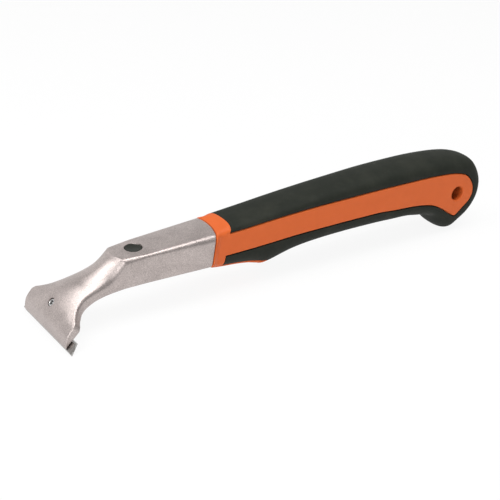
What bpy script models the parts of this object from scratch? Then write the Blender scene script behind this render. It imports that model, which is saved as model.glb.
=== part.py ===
"""A pull scraper for paint, with a clamped carbide blade under a cast aluminium head.

The tool stands on its cutting edge and on the heel of its butt. Every piece is laid out from the
middle of the cutting edge, with +X towards the handle and +Z up, and an empty then puts the tool's
middle over the origin.
"""

import math

import bmesh
import bpy
import numpy as np

# Fits
SEAT_GAP = 0.0003
CUT_OVERRUN = 0.002

# Blade: a steel bar with a brazed carbide strip along each long side
BLADE_LENGTH = 0.050
BLADE_WIDTH = 0.0062
BLADE_THICKNESS = 0.0022
BLADE_SKEW = 0.0026
BLADE_TILT = math.radians(45)
EDGE_RELIEF = 0.0008
CARBIDE_WIDTH = 0.0019
CARBIDE_THICKNESS = 0.0010

# Head, neck and shank of the casting
HEAD_WIDTH = 0.0454
HEAD_PLATE = 0.0041
SEAT_DEPTH = 0.0112
LIP_REACH = 0.0013
NECK_WIDTH = 0.0188
BEND_REACH = 0.041
BEND_BOW = 0.0042
SHANK_TOP = 0.0357
SHANK_BOTTOM = 0.0182
SHANK_END = 0.087
SHANK_END_WIDTH = 0.0258
SHANK_END_SLANT = 0.0020
SHANK_END_SKEW = 0.0028
SHANK_END_BOW = 0.0019
SHANK_END_CORNER = 0.0030
SHANK_CORNER = 0.0012
HEAD_CORNER = 0.0005
CROWN_RISE = 0.0026
TANG_LENGTH = 0.100
TANG_WIDTH = 0.0125
TANG_HEIGHT = 0.0115
TANG_RISE = 0.0040

# Clamp plate and its screw
CLAMP_NOSE_SETBACK = 0.0020
CLAMP_LENGTH = 0.0152
CLAMP_NOSE_WIDTH = 0.0310
CLAMP_HEEL_WIDTH = 0.0190
CLAMP_THICKNESS = 0.0020
POCKET_CLEARANCE = 0.0007
SCREW_REACH = 0.0129
SCREW_DIAMETER = 0.0040
SCREW_LENGTH = 0.0118
SCREW_HEAD_DIAMETER = 0.0070
SCREW_HEAD_HEIGHT = 0.0030
SCREW_SOCKET = 0.0030
SCREW_SOCKET_DEPTH = 0.0018
SCREW_CUP = 0.0022
SCREW_CHAMFER = 0.0004

# Plug in the hole for a second-hand knob
PLUG_REACH = 0.0472
PLUG_DIAMETER = 0.0090
PLUG_DEPTH = 0.0060
PLUG_RECESS = 0.0003
PLUG_CHAMFER = 0.0004

# Handle
HANDLE_LENGTH = 0.1887
HANDLE_HEIGHT = 0.0476
WAIST_WIDTH = 0.0222
BUTT_WIDTH = 0.0268
RUBBER_THICKNESS = 0.0024
COLLAR_OVERLAP = 0.006
KEEL_WIDTH = 0.0172
KEEL_RISE = 0.0004
KEEL_DEPTH = 0.0054
HANG_HOLE_DIAMETER = 0.0087
HANG_HOLE_BACK = 0.0213
HANG_HOLE_HEIGHT = 0.0243

MIDDLE = (SHANK_END + HANDLE_LENGTH - LIP_REACH) / 2
SEAT_LEVEL = BLADE_THICKNESS + SEAT_GAP

# Places across half a section, from its middle to its side
ACROSS_SHARES = (0, 0.25, 0.5, 0.75, 0.93, 0.99, 1)

# Lip to cheek corner: top reach and underside reach along the seat, plate thickness, crown
SEAT_SHARES = (
    (0.085, 0.070, 0.10, 0.0),
    (0.270, 0.235, 0.55, 0.20),
    (0.495, 0.500, 0.91, 0.50),
    (0.745, 0.770, 1.04, 0.76),
    (0.980, 1.000, 1.08, 0.92),
)
# Cheek corner to shank: top reach and height, underside reach and height, fan, crown, bow
NECK_SHARES = (
    (0.105, 0.394, 0.178, 0.312, 0.90, 1.04, 0.00),
    (0.134, 0.422, 0.203, 0.326, 0.74, 1.13, 0.00),
    (0.183, 0.459, 0.250, 0.347, 0.54, 1.21, 0.00),
    (0.234, 0.494, 0.293, 0.366, 0.38, 1.25, 0.00),
    (0.334, 0.545, 0.376, 0.395, 0.21, 1.27, 0.00),
    (0.459, 0.587, 0.490, 0.438, 0.13, 1.35, 0.00),
    (0.590, 0.623, 0.610, 0.468, 0.09, 1.69, 0.05),
    (0.722, 0.681, 0.737, 0.480, 0.05, 1.88, 0.17),
    (0.815, 0.773, 0.820, 0.482, 0.02, 1.46, 0.33),
    (0.878, 0.866, 0.883, 0.483, 0.00, 0.58, 0.52),
    (0.934, 0.926, 0.941, 0.487, 0.00, 0.23, 0.79),
    (1.220, 0.941, 1.220, 0.503, 0.06, 0.31, 0.00),
)
# Round the handle from the collar's top over the butt to the keel: the panel's edge and the outline
HANDLE_SHARES = (
    (0.055, 0.737, 0.066, 0.814),
    (0.101, 0.745, 0.100, 0.830),
    (0.157, 0.761, 0.156, 0.851),
    (0.250, 0.784, 0.249, 0.890),
    (0.353, 0.801, 0.352, 0.928),
    (0.460, 0.810, 0.459, 0.961),
    (0.570, 0.819, 0.570, 0.989),
    (0.691, 0.821, 0.692, 0.999),
    (0.778, 0.820, 0.781, 0.992),
    (0.857, 0.800, 0.868, 0.964),
    (0.905, 0.758, 0.929, 0.919),
    (0.930, 0.696, 0.970, 0.839),
    (0.949, 0.589, 0.997, 0.644),
    (0.953, 0.472, 0.997, 0.441),
    (0.941, 0.373, 0.980, 0.277),
    (0.919, 0.300, 0.955, 0.154),
    (0.901, 0.241, 0.922, 0.079),
    (0.885, 0.208, 0.880, 0.000),
    (0.863, 0.257, 0.842, 0.075),
    (0.826, 0.355, 0.810, 0.225),
    (0.791, 0.421, 0.778, 0.263),
    (0.750, 0.457, 0.744, 0.283),
    (0.704, 0.477, 0.702, 0.310),
    (0.638, 0.490, 0.638, 0.318),
    (0.580, 0.507, 0.580, 0.323),
    (0.469, 0.507, 0.469, 0.326),
    (0.360, 0.503, 0.360, 0.310),
    (0.280, 0.496, 0.280, 0.271),
    (0.195, 0.480, 0.194, 0.182),
    (0.162, 0.475, 0.162, 0.212),
    (0.134, 0.470, 0.133, 0.246),
    (0.093, 0.467, 0.092, 0.274),
    (0.045, 0.462, 0.040, 0.295),
    (0.016, 0.462, 0.013, 0.311),
)
GUARD_ROW = 28
PAD_END_ROW = 32
ROUNDING_POWER = 2.5
LINE_STEPS = 2
# How far the collar's flare has come halfway along it: along, across and in height
FLARE_TOP_SHARES = (0.5, 0.8, 0.6)
FLARE_UNDER_SHARES = (0.5, 0.8, 0.85)


def finish(name, colour, roughness, metallic):
    """One Principled material."""
    material = bpy.data.materials.new(name)
    material.use_nodes = True
    shader = material.node_tree.nodes["Principled BSDF"]
    shader.inputs["Base Color"].default_value = (*colour, 1)
    shader.inputs["Roughness"].default_value = roughness
    shader.inputs["Metallic"].default_value = metallic
    return material


def empty(name, parent=None):
    """A bare holder that other objects hang from."""
    holder = bpy.data.objects.new(name, None)
    holder.parent = parent
    bpy.context.scene.collection.objects.link(holder)
    return holder


def solid(name, points, faces, parent, material=None):
    """A mesh object from points and faces, its normals turned outwards and its round sides smooth."""
    mesh = bpy.data.meshes.new(name)
    mesh.from_pydata([tuple(point) for point in points], [], faces)
    shape = bmesh.new()
    shape.from_mesh(mesh)
    bmesh.ops.remove_doubles(shape, verts=shape.verts, dist=SEAT_GAP / 100)
    bmesh.ops.recalc_face_normals(shape, faces=shape.faces)
    shape.to_mesh(mesh)
    shape.free()
    if material:
        mesh.materials.append(material)
    mesh.shade_smooth()
    mesh.set_sharp_from_angle(angle=math.radians(35))
    piece = bpy.data.objects.new(name, mesh)
    piece.parent = parent
    bpy.context.scene.collection.objects.link(piece)
    return piece


def loft(name, rings, parent, material=None):
    """A skin over a row of closed rings, each with as many points, and a cap on the first and the last."""
    rings = np.asarray(rings)
    count, around = rings.shape[:2]
    faces = [tuple(range(around)), tuple(range((count - 1) * around, count * around))]
    for row in range(count - 1):
        for column in range(around):
            beside = (column + 1) % around
            faces.append((
                row * around + column,
                row * around + beside,
                (row + 1) * around + beside,
                (row + 1) * around + column,
            ))
    return solid(name, rings.reshape(-1, 3), faces, parent, material)


def extrusion(name, section, half_widths, parent, material=None, shifts=None):
    """A flat outline in X and Z carried across Y, each corner to its own half width and shift."""
    section = np.asarray(section)
    half_widths = np.broadcast_to(half_widths, len(section))
    shifts = np.zeros(len(section)) if shifts is None else np.asarray(shifts)
    rings = [
        np.column_stack([section[:, 0], shifts + side * half_widths, section[:, 1]])
        for side in (-1, 1)
    ]
    return loft(name, rings, parent, material)


def turned(name, profile, parent, material=None, sides=24):
    """A profile of radius and height turned about Z, both ends closed on the axis."""
    angles = (np.arange(sides) + 1 / 2) * math.tau / sides
    rings = [
        np.column_stack([radius * np.cos(angles), radius * np.sin(angles), np.full(sides, height)])
        for radius, height in profile
    ]
    return loft(name, rings, parent, material)


def boolean(piece, operation, tool):
    """A live Boolean of the tool on the piece; the tool stays as a hidden guide."""
    step = piece.modifiers.new(tool.name, "BOOLEAN")
    step.operation = operation
    step.object = tool
    step.solver = "EXACT"
    tool.hide_render = True
    tool.display_type = "WIRE"


def shoulder(across, power):
    """How high a rounded section stands at each place across it, from 1 in the middle to 0 at its side."""
    return (1 - np.abs(across) ** power) ** (1 / power)


def smooth_line(rows, steps):
    """A Catmull-Rom curve through the rows, each span cut into steps."""
    rows = np.asarray(rows, float)
    padded = np.vstack([2 * rows[0] - rows[1], rows, 2 * rows[-1] - rows[-2]])
    line = []
    for before, start, end, after in zip(padded, padded[1:], padded[2:], padded[3:]):
        for along in np.arange(steps) / steps:
            line.append((
                2 * start
                + (end - before) * along
                + (2 * before - 5 * start + 4 * end - after) * along**2
                + (3 * start - before - 3 * end + after) * along**3
            ) / 2)
    return np.array([*line, rows[-1]])


def cast_ring(low, high, half_width, corners, crown, power, bow=0):
    """One closed section of the casting or the collar, over the top and back underneath.

    low and high are its bottom and top in the side view, and corners its rounding at the top and at
    the bottom. The top rises by the crown in its middle, and the bow pushes that middle along X.
    """
    low, high = np.asarray(low, float), np.asarray(high, float)
    up = (high - low) / np.linalg.norm(high - low)
    half = np.array(ACROSS_SHARES)
    across = np.concatenate([half[::-1], -half[1:]])
    rounding = shoulder(across, power) - 1
    over = high + np.outer(corners[0] * rounding + crown * (1 - across**2), up)
    over[:, 0] += bow * (1 - across**2)
    under = low - np.outer(corners[1] * rounding, up)
    top = np.column_stack([over[:, 0], across * half_width, over[:, 1]])
    bottom = np.column_stack([under[:, 0], across * half_width, under[:, 1]])
    return np.concatenate([top, bottom[::-1]])


def seat_point(reach, level):
    """A place in the side view, measured along the blade and square to it."""
    along = np.array([math.cos(BLADE_TILT), math.sin(BLADE_TILT)])
    square = np.array([-math.sin(BLADE_TILT), math.cos(BLADE_TILT)])
    return reach * along + level * square


def skewed(ring):
    """The ring, run back across the tool as the seam between casting and collar does."""
    ring[:, 0] += SHANK_END_SKEW * (ring[:, 1] / SHANK_END_WIDTH + 1 / 2)
    return ring


def shank_end_ring(setback):
    """The section where casting and collar meet, the given distance behind the casting's own end."""
    low = (SHANK_END - SHANK_END_SLANT / 2 + setback, SHANK_BOTTOM)
    high = (SHANK_END + SHANK_END_SLANT / 2 + setback, SHANK_TOP)
    corners = [SHANK_END_CORNER] * 2
    crown_bow = CROWN_RISE / 3, 4, SHANK_END_BOW
    return skewed(cast_ring(low, high, SHANK_END_WIDTH / 2, corners, *crown_bow))


def tang_ring(along, grow=0, setback=0):
    """The tang's section at a share of its length, larger all round by grow."""
    middle = (SHANK_BOTTOM + SHANK_TOP) / 2
    centre = np.array([SHANK_END + along * TANG_LENGTH + setback, middle + along * TANG_RISE])
    slope = SHANK_END_SLANT / (SHANK_TOP - SHANK_BOTTOM)
    half = (TANG_HEIGHT / 2 + grow) * np.array([slope * (1 - along), 1])
    corners = [TANG_HEIGHT / 6] * 2
    return skewed(cast_ring(centre - half, centre + half, TANG_WIDTH / 2 + grow, corners, 0, 3))


def casting_rings():
    """Sections from the lip over the neck and the shank to the end of the tang."""
    rings = []
    for top, under, thickness, crown in SEAT_SHARES:
        high = seat_point(top * SEAT_DEPTH, SEAT_LEVEL + thickness * HEAD_PLATE)
        low = seat_point(under * SEAT_DEPTH, SEAT_LEVEL)
        corners = [HEAD_CORNER * min(1, 2 * thickness)] * 2
        rings.append(cast_ring(low, high, HEAD_WIDTH / 2, corners, crown * CROWN_RISE, 6))
    for top, height, under, depth, fan, crown, bow in smooth_line(NECK_SHARES, LINE_STEPS):
        high = (top * BEND_REACH, height * SHANK_TOP)
        low = (under * BEND_REACH, depth * SHANK_TOP)
        half_width = (NECK_WIDTH + (HEAD_WIDTH - NECK_WIDTH) * fan) / 2
        corners = [HEAD_CORNER + (SHANK_CORNER - HEAD_CORNER) * min(1, 2 * (1 - fan))] * 2
        crown_bow = crown * CROWN_RISE, 4, -bow * BEND_BOW
        rings.append(cast_ring(low, high, half_width, corners, *crown_bow))
    rings.append(shank_end_ring(0))
    rings.append(tang_ring(0))
    rings.append(tang_ring(1))
    return rings


def shank_crown(reach):
    """How high the middle of the shank's top stands, read along its straight runs behind the bend."""
    top, height, _, _, _, crown, bow = np.transpose(NECK_SHARES[-2:])
    end = SHANK_END + (SHANK_END_SLANT + SHANK_END_SKEW) / 2 + SHANK_END_BOW
    reaches = [*(top * BEND_REACH - bow * BEND_BOW), end]
    heights = [*(height * SHANK_TOP + crown * CROWN_RISE), SHANK_TOP + CROWN_RISE / 3]
    return np.interp(reach, reaches, heights)


def handle_lines(first=0, last=None):
    """The panel's edge and the handle's outline in the side view, between two rows of the table."""
    rows = np.array(HANDLE_SHARES[first:last])
    line = smooth_line(rows * ([HANDLE_LENGTH, HANDLE_HEIGHT] * 2), LINE_STEPS)
    line[:, [0, 2]] += SHANK_END
    return line[:, :2], line[:, 2:]


def panel_half_width(at):
    """Half the width across the flat side panels, which spread evenly from the waist to the butt."""
    along = (np.asarray(at) - SHANK_END) / HANDLE_LENGTH
    return (WAIST_WIDTH + (BUTT_WIDTH - WAIST_WIDTH) * along) / 2


def arch_row(edges, outline, inset, across):
    """One arch for each pair of points, from the panel's edge over the outline: (rows, places across, 3)."""
    reach = outline - edges
    depth = np.linalg.norm(reach, axis=1)
    out = reach / depth[:, None]
    height = (depth - inset)[:, None] * shoulder(across, ROUNDING_POWER)
    side = edges[:, None, :] + height[..., None] * out[:, None, :]
    width = (panel_half_width(edges[:, 0]) - inset)[:, None] * across
    return np.stack([side[..., 0], width, side[..., 1]], axis=-1)


def arched_strip(name, lines, insets, reach_share, parent, material=None):
    """A strip bent over the handle's outline, between an outer and an inner arch."""
    angles = np.linspace(-1, 1, 13) * math.asin(reach_share)
    across = np.sin(angles)
    outer = arch_row(*lines, insets[0], across)
    inner = arch_row(*lines, insets[1], across)
    return loft(name, np.concatenate([outer, inner[:, ::-1]], axis=1), parent, material)


def inner_core(parent):
    """What lies under the rubber: the same arches, sunk by its thickness, with a flat cheek on each side."""
    edges, outline = handle_lines(0, PAD_END_ROW + 1)
    across = np.sin(np.linspace(-1, 1, 11) * math.pi / 2)
    arches = arch_row(edges, outline, RUBBER_THICKNESS + SEAT_GAP, across)
    rows, places = arches.shape[:2]
    faces = []
    for row in range(rows):
        beside = (row + 1) % rows
        for place in range(places - 1):
            faces.append((
                row * places + place,
                row * places + place + 1,
                beside * places + place + 1,
                beside * places + place,
            ))
    faces.append(tuple(row * places for row in range(rows)))
    faces.append(tuple(row * places + places - 1 for row in range(rows)))
    return solid("inner_core", arches.reshape(-1, 3), faces, parent)


def panel_slab(parent):
    """The flat side panels, as one slab right across the handle, with its front end inside the collar."""
    edges, outline = handle_lines(0, PAD_END_ROW + 1)
    inward = edges - outline
    edges = edges + SEAT_GAP * inward / np.linalg.norm(inward, axis=1)[:, None]
    front = (SHANK_END + edges[:, 0].min()) / 2
    high = (front, edges[0, 1] - RUBBER_THICKNESS)
    low = (front, edges[-1, 1] + RUBBER_THICKNESS)
    section = np.vstack([high, edges, low])
    return extrusion("panel_slab", section, panel_half_width(section[:, 0]), parent)


def collar(parent):
    """The ring of the handle next to the shank, with a smaller neck that runs on under the rubber."""
    edges, outline = handle_lines(0, PAD_END_ROW + 1)
    half = np.array(ACROSS_SHARES)
    across = np.concatenate([half[::-1], -half[1:]])

    def handle_ring(shift, inset):
        over = arch_row(edges[:1], outline[:1], inset, across)[0]
        under = arch_row(edges[-1:], outline[-1:], inset, across)[0]
        ring = np.concatenate([over, under[::-1]])
        ring[:, 0] += shift
        return ring

    front = shank_end_ring(SEAT_GAP)
    rear = handle_ring(-SEAT_GAP, SEAT_GAP)
    sunk = RUBBER_THICKNESS + 2 * SEAT_GAP
    above = np.arange(len(front)) < len(across)
    flare = np.where(above[:, None], FLARE_TOP_SHARES, FLARE_UNDER_SHARES)
    rings = [
        tang_ring(0, 0, SEAT_GAP),
        front,
        front + (rear - front) * flare,
        rear,
        handle_ring(-SEAT_GAP, sunk),
        handle_ring(COLLAR_OVERLAP, sunk),
    ]
    return loft("collar", rings, parent)


def build_casting(tool, seat, material):
    """The casting with its clamp pocket, its screw hole and its hole for the knob."""
    casting = loft("head_casting", casting_rings(), tool, material)
    deep = SEAT_LEVEL - CLAMP_THICKNESS - SCREW_HEAD_HEIGHT - SCREW_HEAD_DIAMETER
    ceiling = SEAT_LEVEL + 2 * SEAT_GAP
    nose = SEAT_DEPTH + POCKET_CLEARANCE
    heel = CLAMP_NOSE_SETBACK + CLAMP_LENGTH + POCKET_CLEARANCE
    taper = (CLAMP_NOSE_WIDTH - CLAMP_HEEL_WIDTH) / 2 / CLAMP_LENGTH
    heel_half = CLAMP_HEEL_WIDTH / 2 + POCKET_CLEARANCE
    nose_half = heel_half + taper * (heel - nose)
    pocket = extrusion(
        "clamp_pocket",
        [(nose, deep), (heel, deep), (heel, ceiling), (nose, ceiling)],
        [nose_half, heel_half, heel_half, nose_half],
        seat,
    )
    boolean(casting, "DIFFERENCE", pocket)
    bore = SCREW_DIAMETER / 2 + SEAT_GAP
    far = SEAT_LEVEL + 2 * HEAD_PLATE + CROWN_RISE
    screw_hole = turned("screw_hole", [(bore, 0), (bore, far)], seat)
    screw_hole.location.x = SCREW_REACH
    boolean(casting, "DIFFERENCE", screw_hole)
    knob_bore = PLUG_DIAMETER / 2 + SEAT_GAP
    floor = -PLUG_RECESS - PLUG_DEPTH - SEAT_GAP
    knob_hole = turned("knob_hole", [(knob_bore, floor), (knob_bore, CROWN_RISE)], tool)
    knob_hole.location = (PLUG_REACH, 0, shank_crown(PLUG_REACH))
    boolean(casting, "DIFFERENCE", knob_hole)


def blade_shift(reach):
    """How far along the edge the blade's slanted ends carry a point at this reach across the blade."""
    return (np.asarray(reach) / BLADE_WIDTH - 1 / 2) * BLADE_SKEW


def build_blade(blade, steel, carbide):
    """The steel bar with a rebate along each long side, and the two carbide strips in them."""
    front_slope = EDGE_RELIEF * CARBIDE_THICKNESS / BLADE_THICKNESS
    strip = [
        (0, 0),
        (CARBIDE_WIDTH, 0),
        (CARBIDE_WIDTH, CARBIDE_THICKNESS),
        (front_slope, CARBIDE_THICKNESS),
    ]
    rebate = CARBIDE_WIDTH + SEAT_GAP
    step = CARBIDE_THICKNESS + SEAT_GAP
    step_slope = EDGE_RELIEF * step / BLADE_THICKNESS
    bar = [
        (rebate, 0),
        (BLADE_WIDTH - rebate, 0),
        (BLADE_WIDTH - rebate, step),
        (BLADE_WIDTH - step_slope, step),
        (BLADE_WIDTH - EDGE_RELIEF, BLADE_THICKNESS),
        (EDGE_RELIEF, BLADE_THICKNESS),
        (step_slope, step),
        (rebate, step),
    ]
    back_strip = [(BLADE_WIDTH - reach, level) for reach, level in strip]
    pieces = (
        ("blade_carrier", bar, steel),
        ("front_carbide_edge", strip, carbide),
        ("rear_carbide_edge", back_strip, carbide),
    )
    for name, section, material in pieces:
        reaches = np.array(section)[:, 0]
        extrusion(name, section, BLADE_LENGTH / 2, blade, material, blade_shift(reaches))


def build_clamp(seat, material):
    """The clamp plate, rebated over the blade and tapered like the head, with a hole for the screw."""
    nose = CLAMP_NOSE_SETBACK - SCREW_REACH
    heel = nose + CLAMP_LENGTH
    rebate = BLADE_WIDTH + SEAT_GAP - SCREW_REACH
    back = -SEAT_GAP - CLAMP_THICKNESS
    face = SEAT_LEVEL - SEAT_GAP
    tread = -SEAT_GAP
    section = np.array([
        (nose, back),
        (heel, back),
        (heel, face),
        (rebate, face),
        (rebate, tread),
        (nose, tread),
    ])
    along = (section[:, 0] - nose) / CLAMP_LENGTH
    half_widths = (CLAMP_NOSE_WIDTH + (CLAMP_HEEL_WIDTH - CLAMP_NOSE_WIDTH) * along) / 2
    plate = extrusion("blade_clamp", section, half_widths, seat, material)
    plate.location.x = SCREW_REACH
    bore = SCREW_DIAMETER / 2 + SEAT_GAP
    through = [(bore, back - CUT_OVERRUN), (bore, face + CUT_OVERRUN)]
    hole = turned("clamp_hole", through, seat)
    hole.location.x = SCREW_REACH
    boolean(plate, "DIFFERENCE", hole)


def build_screw(seat, material):
    """The clamp screw: a cheese head with a hexagon socket, and a cupped tip that shows in front."""
    under_head = -2 * SEAT_GAP - CLAMP_THICKNESS
    tip = under_head + SCREW_LENGTH
    radius, head = SCREW_DIAMETER / 2, SCREW_HEAD_DIAMETER / 2
    bottom = under_head - SCREW_HEAD_HEIGHT
    profile = [
        (head - SCREW_CHAMFER, bottom),
        (head, bottom + SCREW_CHAMFER),
        (head, under_head),
        (radius, under_head),
        (radius, tip - SCREW_CHAMFER),
        (radius - SCREW_CHAMFER, tip),
        (SCREW_CUP / 2, tip),
        (SCREW_CUP / 8, tip - SCREW_CUP / 4),
    ]
    screw = turned("clamp_screw", profile, seat, material)
    screw.location.x = SCREW_REACH
    across_corners = SCREW_SOCKET / math.sqrt(3)
    depth = [(across_corners, bottom - CUT_OVERRUN), (across_corners, bottom + SCREW_SOCKET_DEPTH)]
    socket = turned("screw_socket", depth, seat, sides=6)
    socket.location.x = SCREW_REACH
    boolean(screw, "DIFFERENCE", socket)


def build_plug(tool, material):
    """The plug, a little below the crown of the shank."""
    radius = PLUG_DIAMETER / 2
    profile = [
        (radius - PLUG_CHAMFER, -PLUG_DEPTH),
        (radius, PLUG_CHAMFER - PLUG_DEPTH),
        (radius, -PLUG_CHAMFER),
        (radius - PLUG_CHAMFER, 0),
    ]
    plug = turned("knob_hole_plug", profile, tool, material)
    plug.location = (PLUG_REACH, 0, shank_crown(PLUG_REACH) - PLUG_RECESS)


def build_core(tool, material):
    """The hard core: collar, panels, keel and what the rubber covers, round the tang's socket."""
    core = inner_core(tool)
    core.name = "handle_core"
    core.data.materials.append(material)
    boolean(core, "UNION", panel_slab(tool))
    boolean(core, "UNION", collar(tool))
    edges, outline = handle_lines(GUARD_ROW, None)
    proud = KEEL_RISE * np.minimum(np.arange(len(edges)) / LINE_STEPS, 1)
    reach_share = KEEL_WIDTH / 2 / (panel_half_width(edges[:, 0].max()) + KEEL_RISE)
    insets = (-proud, KEEL_DEPTH)
    boolean(core, "UNION", arched_strip("keel", (edges, outline), insets, reach_share, tool))
    socket = loft(
        "tang_socket",
        [tang_ring(0, SEAT_GAP, -CUT_OVERRUN), tang_ring(1, SEAT_GAP, SEAT_GAP)],
        tool,
    )
    boolean(core, "DIFFERENCE", socket)
    radius = HANG_HOLE_DIAMETER / 2
    reach = BUTT_WIDTH / 2 + CUT_OVERRUN
    hole = turned("hang_hole", [(radius, -reach), (radius, reach)], tool, sides=28)
    hole.rotation_euler.x = math.pi / 2
    hole.location = (SHANK_END + HANDLE_LENGTH - HANG_HOLE_BACK, 0, HANG_HOLE_HEIGHT)
    boolean(core, "DIFFERENCE", hole)


def build_rubber(tool, material):
    """The soft moulding, one strip over the top, round the butt and back under, forked about the keel."""
    lines = handle_lines(0, PAD_END_ROW + 1)
    rubber = arched_strip("grip_rubber", lines, (0, RUBBER_THICKNESS), 1, tool, material)
    edges, outline = handle_lines(GUARD_ROW, GUARD_ROW + 2)
    guard = max(edges[0, 0], outline[0, 0]) + SEAT_GAP
    panel_bottom = edges[0, 1]
    section = [
        (SHANK_END, -CUT_OVERRUN),
        (guard, -CUT_OVERRUN),
        (guard, panel_bottom),
        (SHANK_END, panel_bottom),
    ]
    slot = extrusion("keel_slot", section, KEEL_WIDTH / 2 + SEAT_GAP, tool)
    boolean(rubber, "DIFFERENCE", slot)


def main():
    for thing in list(bpy.data.objects):
        bpy.data.objects.remove(thing, do_unlink=True)
    aluminium = finish("blasted_aluminium", (0.50, 0.45, 0.44), 0.45, 0.85)
    steel = finish("blade_steel", (0.30, 0.28, 0.27), 0.40, 0.9)
    carbide = finish("ground_carbide", (0.42, 0.41, 0.40), 0.25, 0.9)
    screw_steel = finish("zinc_plated_steel", (0.62, 0.62, 0.60), 0.25, 1.0)
    black_plastic = finish("black_plastic", (0.035, 0.037, 0.033), 0.5, 0.0)
    orange = finish("orange_plastic", (0.64, 0.13, 0.035), 0.4, 0.0)
    rubber = finish("black_rubber", (0.038, 0.042, 0.034), 0.7, 0.0)

    tool = empty("scraper")
    tool.location.x = -MIDDLE
    seat = empty("blade_seat", tool)
    seat.rotation_euler.y = -BLADE_TILT

    build_casting(tool, seat, aluminium)
    build_blade(seat, steel, carbide)
    build_clamp(seat, steel)
    build_screw(seat, screw_steel)
    build_plug(tool, black_plastic)
    build_core(tool, orange)
    build_rubber(tool, rubber)


main()
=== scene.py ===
import math

import bmesh
import bpy
import numpy as np
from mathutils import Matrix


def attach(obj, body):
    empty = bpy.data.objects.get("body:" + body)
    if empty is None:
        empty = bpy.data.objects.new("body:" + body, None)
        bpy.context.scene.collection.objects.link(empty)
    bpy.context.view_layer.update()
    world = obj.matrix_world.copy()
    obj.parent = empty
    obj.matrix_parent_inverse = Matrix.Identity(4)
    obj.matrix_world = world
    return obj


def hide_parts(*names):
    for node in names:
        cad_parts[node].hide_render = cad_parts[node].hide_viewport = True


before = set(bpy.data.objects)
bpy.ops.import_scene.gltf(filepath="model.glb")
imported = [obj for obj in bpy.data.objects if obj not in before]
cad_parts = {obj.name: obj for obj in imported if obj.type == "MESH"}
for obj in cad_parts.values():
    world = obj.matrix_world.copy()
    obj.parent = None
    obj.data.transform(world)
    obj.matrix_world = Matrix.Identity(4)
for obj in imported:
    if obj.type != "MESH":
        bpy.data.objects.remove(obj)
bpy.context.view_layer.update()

# The head, neck and shank are one gravity casting in aluminium, blasted to a fine satin grain. Its
# upper face is crowned, the shank's top is milled nearly flat, and its tang is moulded into the handle.
# Sizes along the tool are counted from the middle of the cutting edge, and heights from the table.
EDGE_TO_MIDDLE = 0.1372
SEAT_ANGLE = math.radians(45)
SEAT_LEVEL = 0.0025
HEAD_HALF = 0.0227
HEAD_EDGE = 0.0007
LIP_EDGE_SHARE = 0.45
NECK_HALF = 0.0094
# The bend, its start counted in rows of the neck, and the shank
BEND_START = 9.86
BEND_SHARE = 0.035
BEND_AT = 0.037
BEND_SPREAD = 0.008
BEND_EDGE = 0.0014
SHANK_EDGE = 0.0013
SHANK_TOP = 0.0357
SHANK_BOTTOM = 0.0182
SHANK_END = 0.087
SHANK_END_HALF = 0.0129
# The shank's end, which the collar meets along a slanted and skewed seam, and the tang
END_SLANT = 0.0020
END_SKEW = 0.0028
END_BOW = 0.0019
END_CROWN = 0.0026 / 3
END_TOP_EDGE = 0.0034
END_LOW_EDGE = 0.0028
TANG_LENGTH = 0.1
TANG_HEIGHT = 0.0115
TANG_HALF = 0.00625
TANG_RISE = 0.0040
TANG_EDGE = 0.0015
# Holes for the knob and the screw, and the clamp's pocket, whose sizes run along the seat and off it
CUT_OVERRUN = 0.003
KNOB_HOLE_AT = 0.0472
KNOB_HOLE_LEVEL = 0.03426
KNOB_HOLE_RADIUS = 0.0046
KNOB_HOLE_CHAMFER = 0.0001
KNOB_HOLE_DEPTH = 0.0066
SCREW_AT = 0.0129
SCREW_HOLE_RADIUS = 0.0022
SCREW_HOLE_DEPTH = 0.012
POCKET_NOSE = 0.0119
POCKET_NOSE_HALF = 0.01257
POCKET_HEEL = 0.0179
POCKET_HEEL_HALF = 0.0102
POCKET_MOUTH = -0.0105
POCKET_CEILING = 0.0031

# Lip to cheek corner: reach of the face and of the seat, plate thickness, crown
seat_rows = np.array([
    (0.00098, 0.00081, 0.00039, 0.0),
    (0.00303, 0.00263, 0.00224, 0.00048),
    (0.00554, 0.00560, 0.00373, 0.00130),
    (0.00834, 0.00862, 0.00426, 0.00198),
    (0.01098, 0.01120, 0.00443, 0.00239),
])
# Cheek corner to shank: face and underside in the side view, half width, crown, bow
neck_rows = np.array([
    (0.00431, 0.01405, 0.00730, 0.01115, 0.02137, 0.00270, 0.0),
    (0.00549, 0.01505, 0.00832, 0.01165, 0.01924, 0.00295, 0.0),
    (0.00750, 0.01640, 0.01025, 0.01240, 0.01658, 0.00315, 0.0),
    (0.00959, 0.01765, 0.01201, 0.01305, 0.01445, 0.00325, 0.0),
    (0.01369, 0.01945, 0.01542, 0.01410, 0.01219, 0.00330, 0.0),
    (0.01882, 0.02095, 0.02009, 0.01565, 0.01113, 0.00350, 0.0),
    (0.02419, 0.02225, 0.02501, 0.01670, 0.01060, 0.00440, 0.00020),
    (0.02960, 0.02430, 0.03022, 0.01715, 0.01007, 0.00490, 0.00070),
    (0.03342, 0.02761, 0.03362, 0.01720, 0.00967, 0.00380, 0.00140),
    (0.03600, 0.03090, 0.03620, 0.01725, 0.00940, 0.00150, 0.00220),
    (0.03829, 0.03305, 0.03858, 0.01740, 0.00940, 0.00060, 0.00330),
    (0.05000, 0.03360, 0.05000, 0.01795, 0.01025, 0.00080, 0.0),
])


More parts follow.
